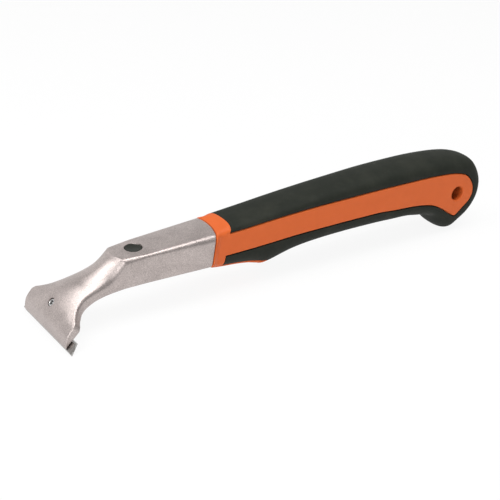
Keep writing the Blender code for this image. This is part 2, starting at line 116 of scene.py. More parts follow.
def spline(rows, at):
    """A Catmull-Rom curve through the rows, read at fractions of the way from row to row.

    Each span blends the two rows at its ends with the rows beyond them, in powers of the share passed.
    """
    rows = np.asarray(rows, float)
    padded = np.vstack([2 * rows[0] - rows[1], rows, 2 * rows[-1] - rows[-2]])
    first = np.minimum(np.floor(at).astype(int), len(rows) - 2)
    share = (at - first)[:, None]
    before, start, end, after = (padded[first + step] for step in range(4))
    return (
        2 * start
        + (end - before) * share
        + (2 * before - 5 * start + 4 * end - after) * share**2
        + (3 * start - before - 3 * end + after) * share**3
    ) / 2


def at_seat(reach, level):
    """The side view of a place along the blade's seat and square to it: a turn by the seat's angle."""
    cosine, sine = math.cos(SEAT_ANGLE), math.sin(SEAT_ANGLE)
    return np.stack([reach * cosine - level * sine, reach * sine + level * cosine], axis=-1)


def cast_sections(low, high, half, crown, bow, top_edge, low_edge):
    """Closed sections, one per station: an arch with filleted edges, straight flanks and a flat underside.

    Across the top, height = crown x (1 - share^2), and within one fillet radius of the flank it
    drops along a quarter circle. The top's middle moves by bow x (1 - share^2) along the tool.
    """
    count = len(half)
    half, crown, bow, top_edge, low_edge = (
        np.broadcast_to(value, count)[:, None] for value in (half, crown, bow, top_edge, low_edge)
    )
    rise = high - low
    length = np.linalg.norm(rise, axis=1)[:, None]
    up = rise / length
    turn = np.linspace(0, math.pi / 2, 9)
    flat = np.sin(np.linspace(0, math.pi / 2, 25))
    ends = half - top_edge
    reach = np.concatenate([ends * flat, ends + top_edge * np.sin(turn[1:])], axis=1)
    fall = np.concatenate([0 * ends * flat, top_edge * (np.cos(turn[1:]) - 1)], axis=1)
    arch = 1 - (reach / half) ** 2
    over = length + crown * arch + fall
    along = bow * arch
    low_turn = turn[::2]
    under_reach = half - low_edge + low_edge * np.sin(low_turn)
    under = low_edge * (1 - np.cos(low_turn))
    flank = np.linspace(0, 1, 6)[1:-1]
    side_height = (length - top_edge) + flank * (low_edge - (length - top_edge))
    one_side = (
        np.concatenate([reach, half + 0 * side_height, under_reach[:, ::-1]], axis=1),
        np.concatenate([over, side_height, under[:, ::-1]], axis=1),
        np.concatenate([along, 0 * side_height, 0 * under_reach], axis=1),
    )
    width, height, shift = (
        np.concatenate([there, mirror * there[:, :0:-1]], axis=1)
        for there, mirror in zip(one_side, (-1, 1, 1))
    )
    x = low[:, :1] + up[:, :1] * height + shift
    z = low[:, 1:] + up[:, 1:] * height
    return np.stack([x - EDGE_TO_MIDDLE, width, z], axis=-1)


def soften(mesh):
    """Shades the mesh smooth, with every fold over 35 degrees left sharp."""
    mesh.shade_smooth()
    mesh.set_sharp_from_angle(angle=math.radians(35))


def piece(name, points, faces):
    """A mesh object at the origin, its doubles merged, its normals outwards and its folds sharp."""
    mesh = bpy.data.meshes.new(name)
    mesh.from_pydata(points.reshape(-1, 3), [], faces)
    shape = bmesh.new()
    shape.from_mesh(mesh)
    bmesh.ops.remove_doubles(shape, verts=shape.verts, dist=0.0000005)
    bmesh.ops.recalc_face_normals(shape, faces=shape.faces)
    shape.to_mesh(mesh)
    shape.free()
    soften(mesh)
    thing = bpy.data.objects.new(name, mesh)
    bpy.context.scene.collection.objects.link(thing)
    return thing


def skin(name, rings):
    """A skin over a grid whose rows are closed sections in order, with a flat cap on both ends."""
    rows, around = rings.shape[:2]
    here = np.arange(rows * around).reshape(rows, around)
    beside = np.roll(here, -1, axis=1)
    quads = np.stack([here[:-1], beside[:-1], beside[1:], here[1:]], axis=-1).reshape(-1, 4)
    return piece(name, rings, [*quads.tolist(), here[0].tolist(), here[-1].tolist()])


def turned(name, profile, base, direction, sides=96):
    """A profile of radius and height, turned about an axis: x and y are radius x cos and sin of the turn."""
    direction = np.asarray(direction) / np.linalg.norm(direction)
    beside = np.cross(direction, [0, 1, 0] if abs(direction[1]) < 0.9 else [1, 0, 0])
    beside = beside / np.linalg.norm(beside)
    third = np.cross(direction, beside)
    turn = np.arange(sides) * math.tau / sides
    circle = np.cos(turn)[:, None] * beside + np.sin(turn)[:, None] * third
    profile = np.asarray(profile, float)
    rings = np.asarray(base) + profile[:, :1, None] * circle + profile[:, 1, None, None] * direction
    return skin(name, rings)


def cut(thing, *cutters):
    """Takes each cutter out of the piece for good and drops the cutters."""
    for cutter in cutters:
        step = thing.modifiers.new(cutter.name, "BOOLEAN")
        step.object = cutter
        step.solver = "EXACT"
    graph = bpy.context.evaluated_depsgraph_get()
    made = bpy.data.meshes.new_from_object(thing.evaluated_get(graph))
    thing.modifiers.clear()
    thing.data = made
    soften(made)
    for cutter in cutters:
        bpy.data.objects.remove(cutter)


def skewed(rings):
    """The sections moved along the tool by skew x (width / full width + 1/2), like the shank's end seam."""
    slide = END_SKEW * (rings[..., 1] / SHANK_END_HALF / 2 + 0.5)
    return rings + slide[..., None] * [1, 0, 0]


seat_fine = spline(seat_rows, np.linspace(0, len(seat_rows) - 1, 33))
neck_line = spline(neck_rows[:-1], np.linspace(0, BEND_START, 100))
# The bend's corner: a quadratic curve from the neck over the corner to just behind it, and then one
# section more on the way to the last row
corner, shank_row = neck_rows[-2:]
behind = corner + (shank_row - corner) * BEND_SHARE
bend_share = np.linspace(0, 1, 8)[1:, None]
bend = (
    (1 - bend_share) ** 2 * neck_line[-1]
    + 2 * bend_share * (1 - bend_share) * corner
    + bend_share**2 * behind
)
neck_fine = np.vstack([neck_line, bend, corner + (shank_row - corner) * 0.4, shank_row])

# Reach and height of the rounding where the shank meets the collar
end_back = np.array([0.0008, 0.0003, 0.00008, 0.0])
end_in = np.array([0.0, 0.00008, 0.0003, 0.0007])
end_low = np.column_stack([SHANK_END - END_SLANT / 2 - end_back, SHANK_BOTTOM + end_in])
end_high = np.column_stack([SHANK_END + END_SLANT / 2 - end_back, SHANK_TOP - end_in])

seat_count = len(seat_fine)
body_low = np.vstack([at_seat(seat_fine[:, 1], np.full(seat_count, SEAT_LEVEL)), neck_fine[:, 2:4]])
body_high = np.vstack([at_seat(seat_fine[:, 0], SEAT_LEVEL + seat_fine[:, 2]), neck_fine[:, 0:2]])
body_half = np.concatenate([np.full(seat_count, HEAD_HALF), neck_fine[:, 4]])
body_crown = np.concatenate([seat_fine[:, 3], neck_fine[:, 5]])
body_bow = np.concatenate([np.zeros(seat_count), -neck_fine[:, 6]])
# The edges are fine at the lip, and reach the shank's roundness half way down the fan of the neck
fan = np.clip((neck_fine[:, 4] - NECK_HALF) / (HEAD_HALF - NECK_HALF), 0, 1)
body_edge = np.concatenate([
    np.minimum(HEAD_EDGE, seat_fine[:, 2] * LIP_EDGE_SHARE),
    HEAD_EDGE + (SHANK_EDGE - HEAD_EDGE) * np.minimum(1, 2 * (1 - fan)),
])
# The near and far top edges are rounder where the neck bends into the shank
softer = BEND_EDGE * np.exp(-(((body_high[:, 0] - BEND_AT) / BEND_SPREAD) ** 2))
body = cast_sections(
    body_low, body_high, body_half, body_crown, body_bow, body_edge + softer, body_edge
)
shank_end = skewed(cast_sections(
    end_low, end_high, SHANK_END_HALF - end_in, END_CROWN, END_BOW, END_TOP_EDGE, END_LOW_EDGE,
))
tang_reach = np.array([SHANK_END, SHANK_END + TANG_LENGTH])
tang_middle = (SHANK_TOP + SHANK_BOTTOM) / 2 + np.array([0, TANG_RISE])
tang = skewed(cast_sections(
    np.column_stack([tang_reach, tang_middle - TANG_HEIGHT / 2]),
    np.column_stack([tang_reach, tang_middle + TANG_HEIGHT / 2]),
    np.full(2, TANG_HALF), 0, 0, TANG_EDGE, TANG_EDGE,
))
casting = skin("cast_head_and_shank", np.concatenate([body, shank_end, tang]))

blade_base = np.array([-EDGE_TO_MIDDLE, 0, 0])
along_seat = np.array([math.cos(SEAT_ANGLE), 0, math.sin(SEAT_ANGLE)])
off_seat = np.array([-math.sin(SEAT_ANGLE), 0, math.cos(SEAT_ANGLE)])
screw_base = blade_base + SCREW_AT * along_seat
plug_base = (KNOB_HOLE_AT - EDGE_TO_MIDDLE, 0, KNOB_HOLE_LEVEL)
knob_hole = turned(
    "knob_hole",
    [
        (KNOB_HOLE_RADIUS, -KNOB_HOLE_DEPTH),
        (KNOB_HOLE_RADIUS, -KNOB_HOLE_CHAMFER),
        (KNOB_HOLE_RADIUS + KNOB_HOLE_CHAMFER, KNOB_HOLE_CHAMFER),
        (KNOB_HOLE_RADIUS + KNOB_HOLE_CHAMFER, CUT_OVERRUN),
    ],
    plug_base,
    (0, 0, 1),
)
screw_hole = turned(
    "screw_hole", [(SCREW_HOLE_RADIUS, 0), (SCREW_HOLE_RADIUS, SCREW_HOLE_DEPTH)], screw_base, off_seat
)
# The pocket under the head: reach along the seat, half width and height off the seat
pocket_rows = np.array([
    (POCKET_NOSE, POCKET_NOSE_HALF, POCKET_MOUTH),
    (POCKET_HEEL, POCKET_HEEL_HALF, POCKET_MOUTH),
    (POCKET_HEEL, POCKET_HEEL_HALF, POCKET_CEILING),
    (POCKET_NOSE, POCKET_NOSE_HALF, POCKET_CEILING),
])
pocket_side = blade_base + pocket_rows[:, :1] * along_seat + pocket_rows[:, 2:] * off_seat
clamp_pocket = skin("clamp_pocket", np.stack([
    pocket_side + side * pocket_rows[:, 1:2] * [0, 1, 0] for side in (-1, 1)
]))
cut(casting, clamp_pocket, screw_hole, knob_hole)


class Wire:
    """One output of a shader node. Arithmetic on it adds Math nodes to its tree."""

    def __init__(self, nodes, socket):
        self.nodes = nodes
        self.socket = socket

    def maths(self, operation, *values):
        """A Math node on these values, as a wire."""
        return self.nodes.node("ShaderNodeMath", {"operation": operation}, dict(enumerate(values)))

    def __add__(self, other):
        return self.maths("ADD", self, other)

    def __mul__(self, other):
        return self.maths("MULTIPLY", self, other)

    __radd__ = __add__
    __rmul__ = __mul__

    def between(self, low, high):
        """0 below low, 1 above high and a smooth step between them."""
        return self.nodes.node(
            "ShaderNodeMapRange",
            {"interpolation_type": "SMOOTHSTEP"},
            {"Value": self, "From Min": low, "From Max": high},
        )


class Nodes:
    """The node tree of a material or of the world."""

    def __init__(self, owner):
        owner.use_nodes = True
        self.tree = owner.node_tree

    def set(self, node, inputs):
        """Gives each socket its own value, or links a wire to it."""
        for key, value in inputs.items():
            if isinstance(value, Wire):
                self.tree.links.new(value.socket, node.inputs[key])
            else:
                node.inputs[key].default_value = value

    def node(self, kind, settings, inputs, output=0):
        """Adds a node, its settings first, then its sockets' values and links, and gives one output."""
        node = self.tree.nodes.new(kind)
        for key, value in settings.items():
            setattr(node, key, value)
        self.set(node, inputs)
        return Wire(self, node.outputs[output])


class Finish(Nodes):
    """A Principled material: what is the same all over is set here, and the rest is wired to it."""

    def __init__(self, name, **same_all_over):
        self.material = bpy.data.materials.new(name)
        super().__init__(self.material)
        self.shader = self.tree.nodes["Principled BSDF"]
        self.set(self.shader, {key.replace("_", " "): value for key, value in same_all_over.items()})

    def place(self, stretch=(1, 1, 1)):
        """The piece's own coordinates in metres. A stretch under 1 draws a pattern out along its axis."""
        place = self.node("ShaderNodeTexCoord", {}, {}, "Object")
        return self.node("ShaderNodeMapping", {}, {"Vector": place, "Scale": stretch})

    def noise(self, size, detail, roughness, stretch=(1, 1, 1)):
        """Soft noise about 0.5 whose lumps are about size metres across."""
        inputs = {
            "Vector": self.place(stretch), "Scale": 1 / size, "Detail": detail, "Roughness": roughness,
        }
        return self.node("ShaderNodeTexNoise", {}, inputs)

    def blend(self, share, first, second):
        """One colour fading to another as the share goes from 0 to 1."""
        return self.node("ShaderNodeMix", {"data_type": "RGBA"}, {0: share, 6: first, 7: second}, 2)

    def bump(self, height, depth, strength):
        """A normal tilted as a relief of this depth would tilt it."""
        return self.node("ShaderNodeBump", {}, {"Height": height, "Distance": depth, "Strength": strength})

    def on(self, *things, **varies):
        """Wires what differs over the surface and puts the material on each piece."""
        self.set(self.shader, {key.replace("_", " "): value for key, value in varies.items()})
        for thing in things:
            thing.data.materials.clear()
            thing.data.materials.append(self.material)


# Blasting leaves a fine speckle of brighter and darker grains over a faint cloudiness
metal = Finish("blasted_aluminium", Metallic=1.0)
grain = metal.noise(size=0.00055, detail=3, roughness=0.7)
cloud = metal.noise(size=0.009, detail=2, roughness=0.5)
pits = metal.noise(size=0.0004, detail=2, roughness=0.6)
metal.on(
    casting,
    Base_Color=metal.blend(
        grain.between(0.3, 0.7) * 0.75 + cloud.between(0.3, 0.7) * 0.25,
        (0.36, 0.312, 0.298, 1),
        (0.66, 0.585, 0.56, 1),
    ),
    Roughness=0.34 + 0.08 * cloud + 0.10 * grain,
    Normal=metal.bump(pits * 0.5 + grain * 0.5, depth=0.00014, strength=0.7),
)
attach(casting, "tool")
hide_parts("head_casting")

# The blade is a ground steel bar with a carbide strip brazed along each long side, so that it can be
# turned round when one edge is blunt. Its ends are cut on a slant.
steel = Finish("ground_steel", Metallic=1.0)
lines = steel.noise(size=0.00025, detail=3, roughness=0.6, stretch=(1, 0.05, 1))
tarnish = steel.noise(size=0.004, detail=2, roughness=0.5)
steel.on(
    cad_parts["blade_carrier"],
    Base_Color=steel.blend(
        lines * 0.6 + tarnish * 0.4, (0.25, 0.235, 0.225, 1), (0.36, 0.34, 0.325, 1)
    ),
    Roughness=0.30 + 0.16 * lines,
    Normal=steel.bump(lines, depth=0.00002, strength=0.4),
)
carbide = Finish("ground_carbide", Metallic=1.0)
grind = carbide.noise(size=0.0002, detail=2, roughness=0.6, stretch=(1, 0.08, 1))
carbide.on(
    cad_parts["front_carbide_edge"],
    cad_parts["rear_carbide_edge"],
    Base_Color=carbide.blend(grind, (0.42, 0.41, 0.40, 1), (0.52, 0.505, 0.49, 1)),
    Roughness=0.2 + 0.15 * grind,
    Normal=carbide.bump(grind, depth=0.00001, strength=0.3),
)

# Silver solder fills the joint between each carbide strip and the bar. It comes a little short of the
# blade's slanted ends.
BLADE_WIDTH = 0.0062
BLADE_SKEW = 0.0026
SOLDER_HALF = 0.0249
# Reach across the blade and height off the seat
solder_rows = np.array([
    (0.00045, 0.0010),
    (0.0019, 0.0010),
    (0.0019, 0.0001),
    (0.0022, 0.0001),
    (0.0022, 0.0013),
    (0.00055, 0.0013),
])


def solder_line(name, reach):
    """The joint's section carried along the blade, with both ends moved by skew x (reach / width - 1/2)."""
    slant = (reach / BLADE_WIDTH - 0.5) * BLADE_SKEW
    section = blade_base + reach[:, None] * along_seat + solder_rows[:, 1:] * off_seat
    return skin(name, np.stack([
        section + (slant + side * SOLDER_HALF)[:, None] * [0, 1, 0] for side in (-1, 1)
    ]))


joints = (
    solder_line("front_solder", solder_rows[:, 0]),
    solder_line("rear_solder", BLADE_WIDTH - solder_rows[:, 0]),
)
solder = Finish("silver_solder", Metallic=1.0)
flow = solder.noise(size=0.0005, detail=2, roughness=0.5)
solder.on(
    *joints,
    Base_Color=solder.blend(flow, (0.30, 0.285, 0.26, 1), (0.42, 0.40, 0.37, 1)),
    Roughness=0.35 + 0.1 * flow,
    Normal=solder.bump(flow, depth=0.00001, strength=0.3),
)
for joint in joints:
    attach(joint, "blade")

# The clamp is a pressed steel plate behind the blade, rebated to bear on it, and drawn up by the screw.
# It is wider at the nose, which bears on the bar, than at the heel.
pressed = Finish("pressed_steel", Metallic=1.0)
mill = pressed.noise(size=0.0012, detail=3, roughness=0.6)
pressed.on(
    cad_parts["blade_clamp"],
    Base_Color=pressed.blend(mill, (0.22, 0.21, 0.20, 1), (0.36, 0.345, 0.33, 1)),
    Roughness=0.34 + 0.14 * mill,
    Normal=pressed.bump(mill, depth=0.00003, strength=0.4),
)

# The clamp screw is zinc plated. Its head with a hexagon socket sits behind the clamp, and its cupped
# tip comes through the casting, where it shows as a small bright ring.
SCREW_RADIUS = 0.0020
SCREW_CUP_RADIUS = 0.0010
SCREW_TIP = 0.0092
SCREW_SOCKET_RADIUS = 0.00173
SCREW_SOCKET_FLOOR = -0.0040
SCREW_BACK = -0.0058
rim_radius = (SCREW_RADIUS - SCREW_CUP_RADIUS) / 2
rim_middle = (SCREW_RADIUS + SCREW_CUP_RADIUS) / 2
rim_level = SCREW_TIP - rim_radius
# Radius and height off the seat, from the back of the head to the bottom of the cup
screw_profile = [
    (0.0000, SCREW_BACK),
    (0.0031, SCREW_BACK),
    (0.0034, -0.0057),
    (0.0035, -0.0054),
    (0.0035, -0.0027),
    (0.0034, -0.0026),
    (SCREW_RADIUS, -0.0026),
    (SCREW_RADIUS, rim_level),
    *[
        (rim_middle + rim_radius * math.cos(turn), rim_level + rim_radius * math.sin(turn))
        for turn in np.linspace(0, math.pi, 9)
    ],
    (0.0004, SCREW_TIP - 0.0013),
    (0.0000, SCREW_TIP - 0.0014),
]
screw = turned("plated_clamp_screw", screw_profile, screw_base, off_seat)
screw_socket = turned(
    "screw_socket",
    [(SCREW_SOCKET_RADIUS, SCREW_BACK - CUT_OVERRUN), (SCREW_SOCKET_RADIUS, SCREW_SOCKET_FLOOR)],
    screw_base,
    off_seat,
    sides=6,
)
cut(screw, screw_socket)
zinc = Finish("zinc_plate", Metallic=1.0)
bloom = zinc.noise(size=0.0006, detail=2, roughness=0.5)
plated = zinc.blend(bloom, (0.66, 0.66, 0.65, 1), (0.80, 0.80, 0.79, 1))
# The cup is painted darker inside, as painted shade in its hollow
from_tip = zinc.node(
    "ShaderNodeVectorMath",
    {"operation": "DISTANCE"},
    {0: zinc.place(), 1: screw_base + SCREW_TIP * off_seat},
    "Value",
)
zinc.on(
    screw,
    # Painted shade: within about a millimetre of the tip's middle the colour drops to dark grey
    Base_Color=zinc.blend(from_tip.between(0.0011, 0.0014), (0.20, 0.20, 0.20, 1), plated),
    Roughness=0.14 + 0.12 * bloom,
    Normal=zinc.bump(bloom, depth=0.00001, strength=0.3),
)
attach(screw, "screw")
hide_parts("clamp_screw")

# The plug is a moulded black button pressed into the hole where a second-hand knob can be screwed in.
# Its top is slightly dished inside a rounded rim.
PLUG_RADIUS = 0.0045
PLUG_CORNER = 0.0004
# Radius and height from the shank's top, from the foot to the middle of the dish
plug_profile = [
    (0.0000, -0.0063),
    (PLUG_RADIUS - PLUG_CORNER, -0.0063),
    (PLUG_RADIUS, -0.0059),
    (PLUG_RADIUS, -0.0008),
    *[
        (
            PLUG_RADIUS + PLUG_CORNER * (math.cos(turn) - 1),
            -0.0003 + PLUG_CORNER * (math.sin(turn) - 1),
        )
        for turn in np.linspace(0, math.pi / 2, 6)
    ],
    (0.0036, -0.0003),
    (0.0034, -0.00038),
    (0.0000, -0.00042),
]
plug = turned("moulded_plug", plug_profile, plug_base, (0, 0, 1))
button = Finish("black_plastic", Metallic=0.0, Specular_IOR_Level=0.24)
grit = button.noise(size=0.0003, detail=2, roughness=0.6)
button.on(
    plug,
    Base_Color=button.blend(grit, (0.008, 0.010, 0.007, 1), (0.020, 0.022, 0.017, 1)),
    Roughness=0.42 + 0.2 * grit,
    Normal=button.bump(grit, depth=0.00004, strength=0.5),
)
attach(plug, "plug")
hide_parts("knob_hole_plug")

# The hard core of the handle is moulded in orange plastic: a collar that flares from the shank, flat
# side panels with a fine bevel round them, a keel along the front of the underside, and what lies
# under the rubber. A hole for hanging goes through the butt.
HANDLE_LENGTH = 0.1887
HANDLE_HEIGHT = 0.0476
WAIST_HALF = 0.0111
BUTT_HALF = 0.0134
ROUNDING_POWER = 2.5
RUBBER = 0.0024
GAP = 0.0003
GROOVE = 0.0005
PANEL_FRONT = 0.0020
PANEL_FRONT_STEP = 0.0012
PANEL_BEVEL = 0.0005
HOLE_PLACE = (0.1172, 0, 0.0243)
HOLE_RADIUS = 0.00435
HOLE_CHAMFER = 0.0004
COLLAR_OVERLAP = 0.006
SIDE_FLARE_POWER = 1.6
TOP_FLARE_POWER = 1.32
UNDER_FLARE_POWER = 2.7
KEEL_HALF = 0.0086
KEEL_PROUD = 0.0004
KEEL_DEPTH = 0.0054
KEEL_EDGE = 0.0005
KEEL_SIDE = 0.012
# Round the handle from the collar's top: reach and height of the panel's edge and of the outline
handle_shares = np.array([
    (0.055, 0.737, 0.066, 0.814), (0.101, 0.745, 0.100, 0.830), (0.157, 0.761, 0.156, 0.851),
    (0.250, 0.784, 0.249, 0.890), (0.353, 0.801, 0.352, 0.928), (0.460, 0.810, 0.459, 0.961),
    (0.570, 0.819, 0.570, 0.989), (0.691, 0.821, 0.692, 0.999), (0.778, 0.820, 0.781, 0.992),
    (0.857, 0.800, 0.868, 0.964), (0.905, 0.758, 0.929, 0.919), (0.930, 0.696, 0.970, 0.839),
    (0.949, 0.589, 0.997, 0.644), (0.953, 0.472, 0.997, 0.441), (0.941, 0.373, 0.980, 0.277),
    (0.919, 0.300, 0.955, 0.154), (0.901, 0.241, 0.922, 0.079), (0.885, 0.208, 0.880, 0.000),
    (0.863, 0.257, 0.842, 0.075), (0.826, 0.355, 0.810, 0.225), (0.791, 0.421, 0.778, 0.263),
    (0.750, 0.457, 0.744, 0.283), (0.704, 0.477, 0.702, 0.310), (0.638, 0.490, 0.638, 0.318),
    (0.580, 0.507, 0.580, 0.323), (0.469, 0.507, 0.469, 0.326), (0.360, 0.503, 0.360, 0.310),
    (0.280, 0.496, 0.280, 0.271), (0.195, 0.480, 0.194, 0.182), (0.162, 0.475, 0.162, 0.212),
    (0.134, 0.470, 0.133, 0.246), (0.093, 0.467, 0.092, 0.274), (0.045, 0.462, 0.040, 0.295),
    (0.016, 0.462, 0.013, 0.311),
])
# Rows at which the keel starts and the rubber ends
KEEL_START = 28
PAD_END = 32
handle_rows = handle_shares * ([HANDLE_LENGTH, HANDLE_HEIGHT] * 2) + ([SHANK_END, 0] * 2)


def handle_lines(at):
    """The panel's edge and the handle's outline in the side view, at places counted in rows."""
    line = spline(handle_rows, at)
    return line[:, :2], line[:, 2:]


def panel_half(reach):
    """Half the width across the side panels: it grows evenly from the waist to the butt."""
    share = (reach - SHANK_END) / HANDLE_LENGTH
    return WAIST_HALF + (BUTT_HALF - WAIST_HALF) * share


def rounding(share):
    """The height of an arch at a share of its half width: (1 - |share|^2.5)^(1/2.5)."""
    return (1 - np.abs(share) ** ROUNDING_POWER) ** (1 / ROUNDING_POWER)


def arches(edges, outline, inset, share):
    """Arches from one side panel over the outline to the other, one for each place along the handle.

    Height = (depth - inset) x the rounding of the share and width = (half width - inset) x share.
    """
    reach = outline - edges
    depth = np.linalg.norm(reach, axis=1)
    out = reach / depth[:, None]
    inset = np.broadcast_to(inset, (len(depth), len(share)))
    height = (depth[:, None] - inset) * rounding(share)
    side = edges[:, None, :] + height[..., None] * out[:, None, :]
    width = (panel_half(edges[:, 0])[:, None] - inset) * share
    return np.stack([side[..., 0] - EDGE_TO_MIDDLE, width, side[..., 1]], axis=-1)


# Side panels: the outline, drawn in by the groove, carried across the handle with rounded edges
panel_edge, panel_outline = handle_lines(np.linspace(0, PAD_END, 10 * PAD_END + 1))
# A step of unit length square to the panel's edge, turned to point into the panel
tangent = np.gradient(panel_edge, axis=0)
tangent_length = np.linalg.norm(tangent, axis=1)
across = np.column_stack([tangent[:, 1], -tangent[:, 0]]) / tangent_length[:, None]
square = across * np.sign((across * (panel_edge - panel_outline)).sum(axis=1))[:, None]
# The panels run on into the collar, a step narrower above and below
panel_front = SHANK_END + PANEL_FRONT
front_top = (panel_front, panel_edge[0, 1] - PANEL_FRONT_STEP)
front_foot = (panel_front, panel_edge[-1, 1] + PANEL_FRONT_STEP)


def panel_ring(inset, side, sink):
    """The panels' outline drawn in by the inset, at a depth below the side's flat face."""
    line = np.vstack([front_top, panel_edge + (GROOVE + inset) * square, front_foot])
    return np.column_stack([
        line[:, 0] - EDGE_TO_MIDDLE, side * (panel_half(line[:, 0]) - sink), line[:, 1]
    ])


bevel_turn = np.linspace(0, math.pi / 2, 7)
bevel = PANEL_BEVEL * np.column_stack([1 - np.sin(bevel_turn), 1 - np.cos(bevel_turn)])
panels = skin("side_panels", np.stack([
    *[panel_ring(inset, -1, sink) for inset, sink in bevel],
    *[panel_ring(inset, 1, sink) for inset, sink in bevel[::-1]],
]))
hole_face = panel_half(HOLE_PLACE[0] + EDGE_TO_MIDDLE)
hang_hole = turned(
    "hang_hole",
    [
        (HOLE_RADIUS + CUT_OVERRUN, -hole_face + HOLE_CHAMFER - CUT_OVERRUN),
        (HOLE_RADIUS, -hole_face + HOLE_CHAMFER),
        (HOLE_RADIUS, hole_face - HOLE_CHAMFER),
        (HOLE_RADIUS + CUT_OVERRUN, hole_face - HOLE_CHAMFER + CUT_OVERRUN),
    ],
    HOLE_PLACE,
    (0, 1, 0),
)
cut(panels, hang_hole)
flat = np.array([abs(face.normal.y) > 0.999 for face in panels.data.polygons])
panels.data.polygons.foreach_set("use_smooth", ~flat)

# Under the rubber, the same arches sunk by its thickness
core_share = np.sin(np.linspace(-1, 1, 33) * math.pi / 2)
core_grid = arches(*handle_lines(np.linspace(0, PAD_END, 129)), RUBBER + GAP, core_share)
core = skin("handle_core_inside", core_grid.swapaxes(0, 1))
bore_end = BUTT_HALF + CUT_OVERRUN
hang_bore = turned(
    "hang_bore", [(HOLE_RADIUS, -bore_end), (HOLE_RADIUS, bore_end)], HOLE_PLACE, (0, 1, 0)
)
cut(core, hang_bore)


# The collar: sections that pass from the shank's end to the handle's first arch
def shank_section(setback, grow):
    """The shank's end section, moved towards the handle and grown all round."""
    low = np.array([[SHANK_END - END_SLANT / 2 + setback, SHANK_BOTTOM - grow]])
    high = np.array([[SHANK_END + END_SLANT / 2 + setback, SHANK_TOP + grow]])
    half = np.array([SHANK_END_HALF + grow])
    return skewed(cast_sections(low, high, half, END_CROWN, END_BOW, END_TOP_EDGE, END_LOW_EDGE))[0]


def handle_section(setback, inset, like):
    """The handle's first arch and last arch, read at the same shares across as another section.

    Each point on a flank lies between the panel's two edges, at the share of the shank's height it is at.
    """
    width = like[:, 1] / np.abs(like[:, 1]).max()
    middle = (like[:, 2].max() + like[:, 2].min()) / 2
    edges, outline = handle_lines(np.array([0.0, float(PAD_END)]))
    over, under = arches(edges, outline, inset, width)
    section = np.where((like[:, 2] > middle)[:, None], over, under)
    share = np.clip((like[:, 2] - SHANK_BOTTOM) / (SHANK_TOP - SHANK_BOTTOM), 0, 1)[:, None]
    flank = edges[1] + (edges[0] - edges[1]) * share - [EDGE_TO_MIDDLE, 0]
    section[:, ::2] = np.where((np.abs(width) > 0.9999)[:, None], flank, section[:, ::2])
    section[:, 1] = width * (panel_half(edges[0, 0]) - inset)
    return section + [setback, 0, 0]


# How far each section of the rounded rim is set back from the shank's end and grown beyond it
rim = [(GAP + 0.0004, -0.0030), (GAP, -0.0004), (GAP + 0.00005, -0.0002), (GAP + 0.0002, 0.00005)]
mouth = shank_section(GAP + 0.0005, 0.0002)
rear = handle_section(-GROOVE, 0.0, mouth)
sunk = handle_section(-GROOVE, RUBBER + 2 * GAP, mouth)
tail = handle_section(COLLAR_OVERLAP, RUBBER + 2 * GAP, mouth)
# The sides reach the handle's width by half way, and the top rises sooner than the underside falls
flare_share = np.linspace(0, 1, 25)[:, None]
above = mouth[:, 2] > (SHANK_TOP + SHANK_BOTTOM) / 2
travel = np.stack(np.broadcast_arrays(
    flare_share,
    1 - (1 - np.minimum(2 * flare_share, 1)) ** SIDE_FLARE_POWER,
    1 - (1 - flare_share) ** np.where(above, TOP_FLARE_POWER, UNDER_FLARE_POWER),
), axis=-1)
flare = mouth + (rear - mouth) * travel
collar = skin("flared_collar", np.stack([*[shank_section(*row) for row in rim], *flare, sunk, tail]))

# The keel: a strip bent along the underside, a little proud of the rubber, with rounded edges
keel_at = np.linspace(KEEL_START, len(handle_rows) - 1, 61)
keel_edges, keel_outline = handle_lines(keel_at)
proud = KEEL_PROUD * np.minimum(keel_at - KEEL_START, 1)
keel_reach = KEEL_HALF / (panel_half(keel_edges[:, 0].max()) + KEEL_PROUD)
keel_share = np.sin(np.linspace(-1, 1, 41) * math.asin(keel_reach))
# A share of 1 is about KEEL_SIDE across. Next to each side the keel drops along a quarter circle
border = np.clip((keel_reach - np.abs(keel_share)) * KEEL_SIDE / KEEL_EDGE, 0, 1)
keel_inset = -proud[:, None] + KEEL_EDGE * (1 - np.sqrt(1 - (1 - border) ** 2))
keel_outer = arches(keel_edges, keel_outline, keel_inset, keel_share)
keel_inner = arches(keel_edges, keel_outline, KEEL_DEPTH, keel_share)
keel = skin("keel", np.concatenate([keel_outer, keel_inner[:, ::-1]], axis=1))

orange = Finish("orange_plastic", Metallic=0.0, Specular_IOR_Level=0.22)
mottle = orange.noise(size=0.006, detail=2, roughness=0.5)
spark = orange.noise(size=0.0004, detail=2, roughness=0.6)
mouldings = (panels, core, collar, keel)
orange.on(
    *mouldings,
    Base_Color=orange.blend(
        mottle * 0.7 + spark * 0.3, (0.57, 0.105, 0.020, 1), (0.65, 0.125, 0.026, 1)
    ),
    Roughness=0.44 + 0.12 * spark,
    Normal=orange.bump(spark, depth=0.00002, strength=0.4),
)
for moulding in mouldings:
    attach(moulding, "tool")
    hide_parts("handle_core")

# The grip is a soft black rubber moulded over the core, one strip along the top, round the butt and
# back underneath to the collar, with a fine matt grain and rounded edges along the groove.
RUBBER_EDGE = 0.0004
